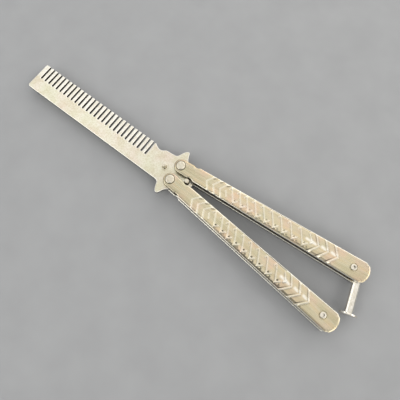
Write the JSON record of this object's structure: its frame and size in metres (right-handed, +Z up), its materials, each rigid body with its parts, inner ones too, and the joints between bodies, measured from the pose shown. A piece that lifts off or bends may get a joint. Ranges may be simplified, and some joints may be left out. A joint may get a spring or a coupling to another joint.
{
  "type": "folding comb",
  "caption": "All-steel butterfly comb lying open: slotted comb plate between two relief-cast handles that swing over it, with a T-shaped swing latch.",
  "frame": {"origin": "middle of the underside of the box round the open comb, on the surface that it lies on", "axes": "+X from the comb's tip to the handles' tails, +Y towards the teeth and handle B, +Z up from the surface"},
  "size_m": [0.2384, 0.0452, 0.0108],
  "materials": {
    "comb_steel": "satin ground stainless plate, warm off-white",
    "pin_steel": "smooth turned stainless",
    "cast_steel": "polished cast stainless, brushed along the plain ends",
    "screw_steel": "bright turned stainless with a socket",
    "latch_steel": "bright polished stainless"
  },
  "bodies": {
    "root": {"comb": "comb_steel", "front_pin": "pin_steel", "tang_pin": "pin_steel"},
    "handle_a": {"handle_a_upper_scale": "cast_steel", "handle_a_lower_scale": "cast_steel", "handle_a_pivot_pin": "pin_steel", "handle_a_tail_screw": "screw_steel"},
    "handle_b": {"handle_b_upper_scale": "cast_steel", "handle_b_lower_scale": "cast_steel", "handle_b_pivot_pin": "pin_steel", "handle_b_tail_screw": "screw_steel"},
    "latch": {"latch": "latch_steel"}
  },
  "joints": [
    {"name": "handle_a_swing", "type": "hinge", "parent": "root", "child": "handle_a", "pos_m": [-0.00896, -0.00522, 0.0054], "axis": [0, 0, -1], "range_deg": [0, 173.4]},
    {"name": "handle_b_swing", "type": "hinge", "parent": "root", "child": "handle_b", "pos_m": [-0.00896, 0.00522, 0.0054], "axis": [0, 0, 1], "range_deg": [0, 173.4]},
    {"name": "latch_swing", "type": "hinge", "parent": "handle_b", "child": "latch", "pos_m": [0.10802, 0.01628, 0.0054], "axis": [0, 0, 1], "range_deg": [-54, 169.4]}
  ]
}
